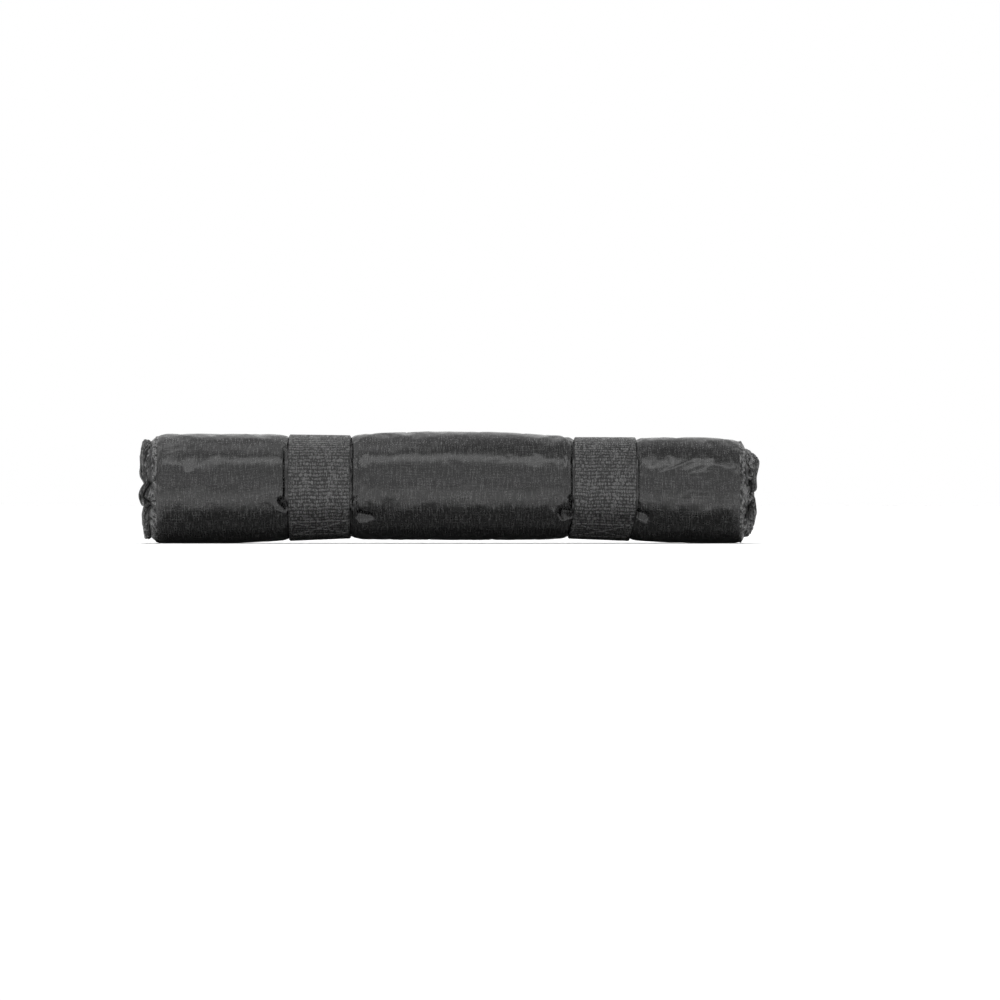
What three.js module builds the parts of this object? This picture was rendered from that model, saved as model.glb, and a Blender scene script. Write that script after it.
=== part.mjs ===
// A padded sleeve that wraps round a bicycle's top tube. A foam core is sewn between an outer
// cover and a lining and rolled into a tube that is slit along its back. Each end has a bound,
// ruffled hem, and two webbing straps close behind the slit with hook and loop tape.
// Millimetres and degrees. +X runs along the sleeve, -Y is its front and +Z is up.
import * as THREE from "three";

// The rolled pad
const padLength = 379; // from one end seam to the other
const padRadius = 36.2; // at the left end, before the straps pinch it
const radiusTaper = 1.4; // how much slimmer the roll is at its right end
const tubeRadius = 18; // of the bore that the bicycle's tube fills
const middleLift = 2.6; // how far the middle of the roll bows up
const bowHalfLength = 190; // from the middle of that bow to where it dies out
const rightDrop = 1.1; // how much lower the roll's middle lies at its right end
const restFlat = 1; // depth of the flat spot that the soft roll lies on
const endRounding = 7; // length in which the cover rounds down to an end seam
const sagLength = 20; // length in which the top of the roll sags towards an end

// Fabrics
const coverThickness = 0.8;
const liningThickness = 0.6;
const clearance = 0.3; // between pieces that lie on each other

// The slit along the back, where the pad's two long edges meet
const slitAngle = 195;
const slitGap = 1;
const edgeRadius = 4; // of the pad's rounded long edges

// Straps, sewn down low on the front and closed over the slit
const webbingWidth = 40;
const webbingThickness = 1.5;
const leftSectionLength = 86; // from the left end seam to the left strap
const rightSectionLength = 68; // from the right strap to the right end seam
const upperTailEnd = 238; // the tail that comes over the top ends here, outermost
const lowerTailEnd = 178; // the tail that comes from underneath ends here, innermost
const tapeThickness = 0.8; // of the hook tape, and of the loop tape
const tapeEndMargin = 4; // from a tail's end to the tapes
const tapeSideMargin = 2; // from the webbing's edges to the tapes
const liftLength = 22; // stretch in which the upper tail climbs over the lower one
const rightStrapSlip = 4; // how far the right strap has slipped to the left underneath
const slipOnset = { from: 15, to: 80 }; // degrees under the front in which it slips
const slipReturn = { from: 100, to: 150 }; // and in which it is back in line

// How a strap pinches the pad
const pinchDepth = 3.45;
const pinchSkew = 0.9; // how much deeper a strap's edge pinches that faces the sleeve's middle
const creaseShare = 0.45; // the share of the pinch that dies out close to the strap
const creaseLength = 2.5;
const swellLength = 30; // in which the rest of it dies out
const puckerDepth = 1.2; // of the hollow beside the strap, low on the front
const puckerAngle = -36;
const puckerSpread = 9;
const puckerLength = 5;

// Ends: how far the cover rounds down to the seam and how far the roll's top sags there. Each
// has a hem of tape folded over the raw edges, which stands out as far as its reach, leans in
// towards the bore, buckles inwards in folds and reaches further or less far at its tongues.
const bindingThickness = 1.6;
const leftEnd = {
  drop: 2.6,
  sag: 0.6,
  reach: 8.6,
  lean: 0.4,
  tongues: [
    { angle: 35, spread: 32, length: 1 },
    { angle: 205, spread: 40, length: 1.2 },
  ],
  folds: [
    { angle: 8, spread: 5, depth: 4.5 },
    { angle: -25, spread: 5, depth: 5.5 },
    { angle: 84, spread: 6, depth: 3 },
    { angle: 128, spread: 6, depth: 5 },
    { angle: 168, spread: 5, depth: 4 },
    { angle: 226, spread: 6, depth: 5 },
    { angle: 278, spread: 35, depth: 2 },
  ],
};
const rightEnd = {
  drop: 1.4,
  sag: 2.6,
  reach: 8.5,
  lean: 1.6,
  tongues: [
    { angle: 46, spread: 22, length: 4 },
    { angle: -85, spread: 30, length: -3.5 },
    { angle: 200, spread: 40, length: 1.5 },
  ],
  folds: [
    { angle: 84, spread: 34, depth: 6.5 },
    { angle: -6, spread: 5, depth: 5.5 },
    { angle: 128, spread: 6, depth: 4 },
    { angle: 165, spread: 5, depth: 5 },
    { angle: 222, spread: 6, depth: 4 },
    { angle: 268, spread: 30, depth: 2 },
  ],
};
const foldRetreat = 0.3; // the share of a hem's reach that a fold draws back

// Fineness of the facets
const outsideSteps = 40;
const edgeSteps = 3;
const foamSteps = 20;
const liningSteps = 20;
const strapSteps = 56;
const strapColumns = 2;
const tapeSteps = 8;
const hemSteps = 72;
const hemColumns = 3;
const endSectionShares = [0, 0.03, 0.08, 0.25, 0.55, 0.82, 0.96];
const middleSectionShares = [0, 0.025, 0.12, 0.37, 0.63, 0.88, 0.975];

const leftSeam = -padLength / 2;
const rightSeam = padLength / 2;
const axisHeight = padRadius - restFlat;
const foamSink = coverThickness + clearance; // from the cover's outside to the foam
const foamBore = tubeRadius + liningThickness + clearance;
const foamInset = liningThickness + clearance; // from an end seam to the foam
const tailLift = webbingThickness + 2 * tapeThickness + 3 * clearance;

// The inward side of a strap, 1 or -1 along the sleeve, faces the sleeve's middle.
const straps = {
  left: {
    middle: leftSeam + leftSectionLength + webbingWidth / 2,
    inward: 1,
    slip: 0,
  },
  right: {
    middle: rightSeam - rightSectionLength - webbingWidth / 2,
    inward: -1,
    slip: rightStrapSlip,
  },
};

const { clamp, lerp, smoothstep, degToRad, radToDeg } = THREE.MathUtils;
const bell = (offset) => Math.exp(-offset * offset);
const steps = (count) => Array.from({ length: count + 1 }, (_, step) => step / count);

// The turn from one angle to another, between -180 and 180
const turn = (from, to) => ((((to - from) % 360) + 540) % 360) - 180;

// Angles round the sleeve start at the front, rise over the top and come down the back.

// Where the middle of a strap lies along the sleeve, at an angle round it
function strapMiddle(strap, angle) {
  const below = -turn(0, angle);
  const gone = smoothstep(below, slipOnset.from, slipOnset.to);
  const back = smoothstep(below, slipReturn.from, slipReturn.to);
  return strap.middle - strap.slip * gone * (1 - back);
}

// How far one strap draws the cover in at a place
function pinch(strap, x, angle) {
  const across = (x - strapMiddle(strap, angle)) / webbingWidth;
  const skew = strap.inward * pinchSkew * clamp(across, -0.5, 0.5);
  const away = Math.max(Math.abs(across) - 0.5, 0) * webbingWidth;
  const crease = creaseShare * Math.exp(-away / creaseLength);
  const swell = (1 - creaseShare) * Math.exp(-away / swellLength);
  const near = (away / puckerLength) * Math.exp(1 - away / puckerLength);
  const pucker = puckerDepth * near * bell(turn(puckerAngle, angle) / puckerSpread);
  return (pinchDepth + skew) * (crease + swell) + pucker;
}

// How far the top of the roll sags at a place, towards both ends
function sag(x) {
  const left = leftEnd.sag * Math.exp((leftSeam - x) / sagLength);
  const right = rightEnd.sag * Math.exp((x - rightSeam) / sagLength);
  return left + right;
}

// How far the cover rounds down at a place, to one end's seam
function rounding(end, toSeam) {
  const near = 1 - clamp(toSeam / endRounding, 0, 1);
  return end.drop * (1 - Math.sqrt(1 - near * near));
}

// Outer radius of the cover at a place
function coverRadius(x, angle) {
  const tapered = padRadius - (radiusTaper * (x - leftSeam)) / padLength;
  const rounded = rounding(leftEnd, x - leftSeam) + rounding(rightEnd, rightSeam - x);
  const pinched = pinch(straps.left, x, angle) + pinch(straps.right, x, angle);
  return tapered - rounded - pinched - sag(x) / 2;
}

// Height that the bow and the sag add: none at the straight bore, all of it at the outside
function lift(x, radius) {
  const faded = clamp(Math.abs(x) / bowHalfLength, 0, 1);
  const bow = middleLift * Math.cos((faded * Math.PI) / 2) ** 2;
  const drop = (rightDrop * (x - leftSeam)) / padLength;
  const outside = clamp((radius - foamBore) / (padRadius - foamBore), 0, 1);
  return (bow - drop - sag(x) / 2) * outside;
}

// A point of a section: out along an angle and aside from that line, but never below the floor
function sectionPoint(x, angle, out, aside = 0, floor = 0) {
  const [cos, sin] = [Math.cos(degToRad(angle)), Math.sin(degToRad(angle))];
  const y = -cos * out + sin * aside;
  const z = axisHeight + sin * out + cos * aside + lift(x, Math.hypot(out, aside));
  return new THREE.Vector3(x, y, Math.max(z, floor));
}

// Closes two matching grids of points into one solid sheet. Rows go round the sleeve, columns
// go along it, and the outer grid is the one that faces away from the bore.
function thickSheet(outer, inner) {
  const rows = outer.length - 1;
  const columns = outer[0].length - 1;
  const width = columns + 1;
  const top = (row, column) => row * width + column;
  const under = (row, column) => (rows + 1) * width + top(row, column);
  const corners = [];
  const quad = (a, b, c, d) => corners.push(a, b, c, a, c, d);
  for (let r = 0; r < rows; r++) {
    for (let c = 0; c < columns; c++) {
      quad(top(r, c), top(r, c + 1), top(r + 1, c + 1), top(r + 1, c));
      quad(under(r, c), under(r + 1, c), under(r + 1, c + 1), under(r, c + 1));
    }
    quad(top(r, 0), top(r + 1, 0), under(r + 1, 0), under(r, 0));
    quad(top(r, columns), under(r, columns), under(r + 1, columns), top(r + 1, columns));
  }
  for (let c = 0; c < columns; c++) {
    quad(top(0, c), under(0, c), under(0, c + 1), top(0, c + 1));
    quad(top(rows, c), top(rows, c + 1), under(rows, c + 1), under(rows, c));
  }
  const places = [...outer.flat(), ...inner.flat()].flatMap((point) => point.toArray());
  const geometry = new THREE.BufferGeometry();
  geometry.setAttribute("position", new THREE.Float32BufferAttribute(places, 3));
  geometry.setIndex(corners);
  geometry.computeVertexNormals();
  return geometry;
}

// Places along the foam, close together where the pad bends, that keep to the straps' edges
function stationsAt(angle) {
  const half = webbingWidth / 2;
  const left = strapMiddle(straps.left, angle);
  const right = strapMiddle(straps.right, angle);
  return [
    ...endSectionShares.map((share) => lerp(leftSeam + foamInset, left - half, share)),
    left - half,
    ...middleSectionShares.map((share) => lerp(left + half, right - half, share)),
    right - half,
    right + half,
    ...endSectionShares.map((share) => lerp(rightSeam - foamInset, right + half, share)).reverse(),
  ];
}

// The pad's section beside the slit at a place along the sleeve: where its rounded edge is
// centred, and the angle from the slit at which the round outside takes over
function edgeAt(x) {
  const aside = slitGap / 2 + edgeRadius;
  const out = Math.sqrt((coverRadius(x, slitAngle) - edgeRadius) ** 2 - aside ** 2);
  return { aside, out, turn: radToDeg(Math.atan2(aside, out)) };
}

// Angle of a share of the round outside, which at a place starts and ends beside the slit
function outsideAngle(x, share) {
  const start = edgeAt(x).turn;
  return slitAngle + lerp(start, 360 - start, share);
}

// A point of the cover's outside, or of a surface sunk under it. Side is 1 on the slit's lower
// edge and -1 on its upper one.
function outsidePoint(x, share, sunk) {
  const angle = outsideAngle(x, share);
  return sectionPoint(x, angle, coverRadius(x, angle) - sunk, 0, sunk);
}

function edgePoint(x, share, side, sunk) {
  const edge = edgeAt(x);
  const swing = share * (Math.PI / 2 + degToRad(edge.turn));
  const radius = edgeRadius - sunk;
  const out = edge.out + radius * Math.sin(swing);
  return sectionPoint(x, slitAngle, out, side * (edge.aside - radius * Math.cos(swing)), sunk);
}

// The end of a slit face, at the bore
function facePoint(x, side, sunk) {
  return sectionPoint(x, slitAngle, tubeRadius, side * (slitGap / 2 + sunk), sunk);
}

// The path round the pad's section, sunk under its outside: over the slit's lower edge, round
// the outside and over the slit's upper edge. With faces it also runs down both sides of the
// slit. Each stop has an angle, and gives its point at a place along the sleeve.
function padPath(sunk, roundSteps, faces = false) {
  const besideSlit = (side) => {
    const edge = steps(edgeSteps).slice(0, -1);
    const points = edge.map((share) => (x) => edgePoint(x, share, side, sunk));
    const face = faces ? [(x) => facePoint(x, side, sunk)] : [];
    return [...face, ...points].map((at) => ({ angle: slitAngle, at }));
  };
  const round = steps(roundSteps).map((share) => ({
    angle: outsideAngle(straps.right.middle, share),
    at: (x) => outsidePoint(x, share, sunk),
  }));
  return [...besideSlit(1), ...round, ...besideSlit(-1).reverse()];
}

// Angles round a bore whose two ends keep a distance from the middle of the slit
function boreAngles(radius, aside, count) {
  const start = radToDeg(Math.asin(aside / radius));
  return steps(count).map((share) => slitAngle + lerp(start, 360 - start, share));
}

function outerCover() {
  const grid = (sunk) =>
    padPath(sunk, outsideSteps, true).map(({ angle, at }) =>
      [leftSeam, ...stationsAt(angle), rightSeam].map(at),
    );
  return thickSheet(grid(0), grid(coverThickness));
}

function foamCore() {
  const path = padPath(foamSink, foamSteps);
  const bore = boreAngles(foamBore, slitGap / 2 + foamSink, path.length - 1);
  return thickSheet(
    path.map(({ angle, at }) => stationsAt(angle).map(at)),
    path.map(({ angle }, row) =>
      stationsAt(angle).map((x) => sectionPoint(x, bore[row], foamBore)),
    ),
  );
}

// The lining comes down the pad's left end face, runs through the bore and climbs the right one
function innerLining() {
  const path = padPath(foamSink, liningSteps);
  const grid = (depth) => {
    const radius = tubeRadius + depth;
    const bore = boreAngles(radius, slitGap / 2 + foamSink, path.length - 1);
    return path.map(({ at }, row) => {
      const endFace = (seam, x) => {
        const rim = at(seam).setX(x);
        const corner = sectionPoint(x, bore[row], radius);
        return [rim, rim.clone().lerp(corner, 0.5), corner];
      };
      return [
        ...endFace(leftSeam, leftSeam + depth),
        sectionPoint(0, bore[row], radius),
        ...endFace(rightSeam, rightSeam - depth).reverse(),
      ];
    });
  };
  return thickSheet(grid(liningThickness), grid(0));
}

// What a list of bumps, each round its own angle, adds up to at an angle
const sumOf = (bumps, size, angle) =>
  bumps.reduce((sum, bump) => sum + bump[size] * bell(turn(bump.angle, angle) / bump.spread), 0);

// How far the pad's rounded edges drop from the round outside beside the slit
function edgeDrop(radius, angle) {
  const fromFace = Math.abs(degToRad(turn(slitAngle, angle))) * radius - slitGap / 2;
  const fromRound = clamp(edgeRadius - fromFace, 0, edgeRadius);
  return edgeRadius - Math.sqrt(edgeRadius ** 2 - fromRound ** 2);
}

// A ruffled ring of binding that stands out from an end seam. Side is -1 left and 1 right.
function endBinding(end, side) {
  const seam = side < 0 ? leftSeam : rightSeam;
  const seamRadius = coverRadius(seam, slitAngle);
  const deepest = Math.max(...end.folds.map((fold) => fold.depth));
  const grid = (sunk) =>
    boreAngles(seamRadius, slitGap / 2 + clearance, hemSteps).map((angle) => {
      const folded = sumOf(end.folds, "depth", angle);
      const root = coverRadius(seam, angle) - edgeDrop(seamRadius, angle) - sunk;
      const drawnBack = 1 - (foldRetreat * folded) / deepest;
      const reach = (end.reach + sumOf(end.tongues, "length", angle)) * drawnBack;
      const row = steps(hemColumns).map((share) => {
        const x = seam + side * (clearance + share * reach);
        return sectionPoint(x, angle, root - share * (end.lean + folded));
      });
      return side < 0 ? row.reverse() : row;
    });
  return thickSheet(grid(0), grid(bindingThickness));
}

// A band of webbing or tape wound round the cover, clear of it by a height that may vary
function band(strap, { from, to, count, columns, width, height, thickness }) {
  const grid = (above) =>
    steps(count).map((along) => {
      const angle = lerp(from, to, along);
      return steps(columns).map((across) => {
        const x = strapMiddle(strap, angle) + (across - 0.5) * width;
        return sectionPoint(x, angle, coverRadius(x, angle) + height(angle) + above);
      });
    });
  return thickSheet(grid(thickness), grid(0));
}

function webbingStrap(strap) {
  const climb = radToDeg(liftLength / padRadius);
  const tip = lowerTailEnd - radToDeg(clearance / padRadius);
  return band(strap, {
    from: lowerTailEnd - 360,
    to: upperTailEnd,
    count: strapSteps,
    columns: strapColumns,
    width: webbingWidth,
    height: (angle) => clearance + tailLift * smoothstep(angle, tip - climb, tip),
    thickness: webbingThickness,
  });
}

// Tape between the two tails: the loop tape lies on the lower one, the hook tape over that
function fastenerTape(strap, layer) {
  const margin = radToDeg(tapeEndMargin / padRadius);
  return band(strap, {
    from: lowerTailEnd + margin,
    to: upperTailEnd - margin,
    count: tapeSteps,
    columns: strapColumns,
    width: webbingWidth - 2 * tapeSideMargin,
    height: () => 2 * clearance + webbingThickness + layer * (tapeThickness + clearance),
    thickness: tapeThickness,
  });
}

const satinNylon = new THREE.MeshStandardMaterial({ color: 0x2a2a2b, roughness: 0.45 });
const liningNylon = new THREE.MeshStandardMaterial({ color: 0x2e2e30, roughness: 0.7 });
const greyFoam = new THREE.MeshStandardMaterial({ color: 0x8b8b8b, roughness: 0.95 });
const bindingTape = new THREE.MeshStandardMaterial({ color: 0x262627, roughness: 0.7 });
const webbing = new THREE.MeshStandardMaterial({ color: 0x2f2f30, roughness: 0.65 });
const fastener = new THREE.MeshStandardMaterial({ color: 0x1d1d1e, roughness: 0.9 });

const protector = new THREE.Group();

function addPiece(name, geometry, material) {
  const piece = new THREE.Mesh(geometry, material);
  piece.name = name;
  protector.add(piece);
}

addPiece("outer_cover", outerCover(), satinNylon);
addPiece("foam_core", foamCore(), greyFoam);
addPiece("inner_lining", innerLining(), liningNylon);
addPiece("left_end_binding", endBinding(leftEnd, -1), bindingTape);
addPiece("right_end_binding", endBinding(rightEnd, 1), bindingTape);
for (const [side, strap] of Object.entries(straps)) {
  addPiece(`${side}_strap`, webbingStrap(strap), webbing);
  addPiece(`${side}_loop_tape`, fastenerTape(strap, 0), fastener);
  addPiece(`${side}_hook_tape`, fastenerTape(strap, 1), fastener);
}

// The origin is under the middle of the sleeve, on the surface that it lies on.
const bounds = new THREE.Box3().setFromObject(protector);
const middle = bounds.getCenter(new THREE.Vector3());
protector.position.set(-middle.x, -middle.y, -bounds.min.z);

export default protector;
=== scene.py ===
"""A padded sleeve for a bicycle's top tube: nylon cover over foam, two webbing straps, ruffled ends."""
import math

import bpy
import numpy as np
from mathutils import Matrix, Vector


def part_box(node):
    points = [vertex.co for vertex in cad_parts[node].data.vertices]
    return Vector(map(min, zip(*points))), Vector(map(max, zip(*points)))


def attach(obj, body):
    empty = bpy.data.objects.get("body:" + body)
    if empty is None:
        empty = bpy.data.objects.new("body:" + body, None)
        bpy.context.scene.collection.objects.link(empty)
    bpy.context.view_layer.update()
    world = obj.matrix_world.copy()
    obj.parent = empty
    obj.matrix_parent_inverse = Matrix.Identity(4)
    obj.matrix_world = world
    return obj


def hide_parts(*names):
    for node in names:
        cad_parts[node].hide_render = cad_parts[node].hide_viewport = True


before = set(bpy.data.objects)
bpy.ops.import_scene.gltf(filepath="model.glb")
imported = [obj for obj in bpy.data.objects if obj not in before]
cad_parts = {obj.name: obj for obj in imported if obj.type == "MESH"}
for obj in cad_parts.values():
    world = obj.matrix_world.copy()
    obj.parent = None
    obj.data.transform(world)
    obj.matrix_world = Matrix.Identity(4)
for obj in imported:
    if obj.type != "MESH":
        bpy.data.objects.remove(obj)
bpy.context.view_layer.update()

# Sizes are in millimetres and degrees. The rolled pad's, the straps' and the ends' are the frame's
# own. Angles go round a section: 0 at the front, 90 on top, 180 at the back and 270 below.

# The rolled pad
PAD_LENGTH = 379
PAD_RADIUS = 36.2
RADIUS_TAPER = 1.4
TUBE_RADIUS = 18
AXIS_HEIGHT = 35.2
MIDDLE_LIFT = 2.6
BOW_HALF_LENGTH = 190
RIGHT_DROP = 1.1
END_ROUNDING = 7
SAG_LENGTH = 20
COVER_THICKNESS = 0.8
LINING_THICKNESS = 0.6
CLEARANCE = 0.3
SLIT_ANGLE = 195
SLIT_GAP = 1
SEAM_MARGIN = 6.5  # from the slit to the topstitching beside it
EDGE_RADIUS = 4
FOAM_SINK = 1.1
FOAM_SLACK = 0.3  # how much deeper the foam lies in this scene, clear of the cover's folds
FOAM_BORE = 18.9
FOAM_INSET = 0.9
LEFT_SEAM = -PAD_LENGTH / 2
RIGHT_SEAM = PAD_LENGTH / 2

# How the cover swells in the cloth simulation
SWELL_PRESSURE = 1.2
CLOTH_GROWTH = 0.007
SWELL_FRAMES = 16
SWELL_CAP = 0.45  # how far a point may move

# The straps, with the ribs of their webbing, and how they pinch the pad
WEBBING_WIDTH = 40
WEBBING_THICKNESS = 1.5
RIB_PITCH = 2.35
RIB_RELIEF = 0.18
FLOAT_LENGTH = 1.9  # of the bright dashes that a rib is broken into
UPPER_TAIL_END = 238
LOWER_TAIL_END = 178
TAIL_LIFT = 4
LIFT_LENGTH = 22
TAPE_THICKNESS = 0.8
TAPE_END_MARGIN = 4
TAPE_SIDE_MARGIN = 2
SLIP_ONSET = (15, 80)
SLIP_RETURN = (100, 150)
PINCH_DEPTH = 3.45
PINCH_SKEW = 0.9
CREASE_SHARE = 0.45
CREASE_LENGTH = 2.5
SWELL_LENGTH = 30
PUCKER_DEPTH = 1.2
PUCKER_ANGLE = -36
PUCKER_SPREAD = 9
PUCKER_LENGTH = 5
# box: the angles from which and to which the stitched box goes
LEFT_STRAP = {"middle": -83.5, "inward": 1, "slip": 0, "box": (-40, -62)}
RIGHT_STRAP = {"middle": 101.5, "inward": -1, "slip": 4, "box": (-43.5, -68)}

# The ruffled ends. Their hem is one ply from the cover out, and rolled into a bead at its edge.
BINDING_THICKNESS = 1.6
PLY_THICKNESS = 0.9
BEAD_THICKNESS = 2.0
OVERLAP = 1.3  # of the hem on the cover
FOLD_RETREAT = 0.3
# Tongues and folds are (angle, spread, size)
LEFT_END = {
    "side": -1,
    "seam": LEFT_SEAM,
    "drop": 2.6,
    "sag": 0.6,
    "reach": 8.6,
    "lean": 0.4,
    "tongues": [(35, 32, 1), (205, 40, 1.2)],
    "folds": [(8, 5, 4.5), (-25, 5, 5.5), (84, 6, 3), (128, 6, 5)]
    + [(168, 5, 4), (226, 6, 5), (278, 35, 2)],
}
RIGHT_END = {
    "side": 1,
    "seam": RIGHT_SEAM,
    "drop": 1.4,
    "sag": 2.6,
    "reach": 8.5,
    "lean": 1.6,
    "tongues": [(46, 22, 4), (-85, 30, -3.5), (200, 40, 1.5)],
    "folds": [(84, 34, 6.5), (-6, 5, 5.5), (128, 6, 4), (165, 5, 5), (222, 6, 4), (268, 30, 2)],
}

# Stitches: the length of one, the gap to the next one and the radius of the thread
STRAP_STITCH = (3.3, 0.6, 0.34)
SLIT_STITCH = (2.6, 0.9, 0.3)
HEM_STITCH = (2.3, 1.1, 0.26)
STITCH_MARGIN = 0.05  # share of the webbing's width outside the stitches
TAPE_ROW_INSET = 8  # degrees from a tail's end to the row across it
SLIT_ROW_INSET = 3  # from an end's seam
SLIT_ROW_BREAK = 2.5  # from a strap's edge
HEM_ROWS = (0.66, -0.04)  # shares of the hem's reach

MILLIMETRE = 0.001
BORE_Y = -1.4153
# Where the middle of the sleeve's length and the bore's axis lie in the frame
ORIGIN = np.array([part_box("outer_cover")[0].x / MILLIMETRE - LEFT_SEAM, BORE_Y, 0.0])


def bell(offset):
    return np.exp(-offset * offset)


def smoothstep(value, low, high):
    share = np.clip((value - low) / (high - low), 0, 1)
    return share * share * (3 - 2 * share)


def turn(start, end):
    """The turn from one angle to another, between -180 and 180."""
    return ((end - start) % 360 + 540) % 360 - 180


def strap_middle(strap, angle):
    """Where the middle of a strap lies along the sleeve, at an angle round it."""
    below = -turn(0, angle)
    slipped = smoothstep(below, *SLIP_ONSET) * (1 - smoothstep(below, *SLIP_RETURN))
    return strap["middle"] - strap["slip"] * slipped


def beyond_strap(strap, x, angle):
    """How far a place lies outside a strap's nearer edge, and its signed share across the strap."""
    across = (x - strap_middle(strap, angle)) / WEBBING_WIDTH
    return np.maximum(np.abs(across) - 0.5, 0) * WEBBING_WIDTH, across


def pinch(strap, x, angle):
    """How far one strap draws the cover in at a place."""
    away, across = beyond_strap(strap, x, angle)
    skew = strap["inward"] * PINCH_SKEW * np.clip(across, -0.5, 0.5)
    crease = CREASE_SHARE * np.exp(-away / CREASE_LENGTH)
    swell = (1 - CREASE_SHARE) * np.exp(-away / SWELL_LENGTH)
    near = (away / PUCKER_LENGTH) * np.exp(1 - away / PUCKER_LENGTH)
    pucker = PUCKER_DEPTH * near * bell(turn(PUCKER_ANGLE, angle) / PUCKER_SPREAD)
    return (PINCH_DEPTH + skew) * (crease + swell) + pucker


def sag(x):
    """How far the top of the roll sags at a place, towards both ends."""
    left = LEFT_END["sag"] * np.exp((LEFT_SEAM - x) / SAG_LENGTH)
    right = RIGHT_END["sag"] * np.exp((x - RIGHT_SEAM) / SAG_LENGTH)
    return left + right


def rounding(end, to_seam):
    """How far the cover rounds down, at a length from an end's seam."""
    near = 1 - np.clip(to_seam / END_ROUNDING, 0, 1)
    return end["drop"] * (1 - np.sqrt(1 - near * near))


def cover_radius(x, angle):
    """The roll's outside before its cover wrinkles, as the frame has it."""
    tapered = PAD_RADIUS - RADIUS_TAPER * (x - LEFT_SEAM) / PAD_LENGTH
    rounded = rounding(LEFT_END, x - LEFT_SEAM) + rounding(RIGHT_END, RIGHT_SEAM - x)
    pinched = pinch(LEFT_STRAP, x, angle) + pinch(RIGHT_STRAP, x, angle)
    return tapered - rounded - pinched - sag(x) / 2


def lift(x, radius):
    """Height that the bow and the sag add: none at the straight bore, all of it outside."""
    faded = np.clip(np.abs(x) / BOW_HALF_LENGTH, 0, 1)
    bow = MIDDLE_LIFT * np.cos(faded * math.pi / 2) ** 2
    drop = RIGHT_DROP * (x - LEFT_SEAM) / PAD_LENGTH
    outside = np.clip((radius - FOAM_BORE) / (PAD_RADIUS - FOAM_BORE), 0, 1)
    return (bow - drop - sag(x) / 2) * outside


def section_point(x, angle, out, aside=0.0, floor=0.0):
    """Points of a section: out along an angle and aside from it, but never below the floor."""
    cos, sin = np.cos(np.radians(angle)), np.sin(np.radians(angle))
    y = -cos * out + sin * aside
    z = AXIS_HEIGHT + sin * out + cos * aside + lift(x, np.hypot(out, aside))
    return np.stack(np.broadcast_arrays(x, y, np.maximum(z, floor)), axis=-1)


def smooth_noise(across, along, seed):
    """Soft random waves from -1 to 1, one to a unit of length, the same on every run."""
    table = np.random.default_rng(seed).uniform(-1, 1, (97, 89))
    column, row = np.floor(across).astype(int), np.floor(along).astype(int)
    u, v = across - column, along - row
    u, v = u * u * (3 - 2 * u), v * v * (3 - 2 * v)

    def corner(dx, dy):
        return table[(column + dx) % 97, (row + dy) % 89]

    near = corner(0, 0) * (1 - u) + corner(1, 0) * u
    far = corner(0, 1) * (1 - u) + corner(1, 1) * u
    return near * (1 - v) + far * v


def near_line(across, along, start, end, width):
    """1 on a line from start to end, falling to 0 over a width on every side of it."""
    step = np.subtract(end, start)
    share = ((across - start[0]) * step[0] + (along - start[1]) * step[1]) / (step @ step)
    share = np.clip(share, 0, 1)
    away = np.hypot(across - start[0] - share * step[0], along - start[1] - share * step[1])
    return bell(away / width)


def round_length(angle, radius=PAD_RADIUS):
    """Length round a section from the front to an angle."""
    return np.radians(turn(0, angle)) * radius


def creases(lines, along, around, scale=1, radius=PAD_RADIUS):
    """What creases add up to at a place. Each is a line from one (place along, angle) to another
    with its width and its size, and scale is the length that a place along is a share of."""
    total = 0
    for start, end, width, size in lines:
        start, end = [(at * scale, round_length(angle, radius)) for at, angle in (start, end)]
        total = total + size * near_line(along, around, start, end, width)
    return total


def to_nearer_seam(x):
    """Length along the sleeve to the end seam that is nearer."""
    return np.minimum(x - LEFT_SEAM, RIGHT_SEAM - x)


def from_slit(angle, radius=PAD_RADIUS):
    """Length round a section from the slit to an angle, either way."""
    return np.abs(np.radians(turn(SLIT_ANGLE, angle))) * radius


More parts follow.
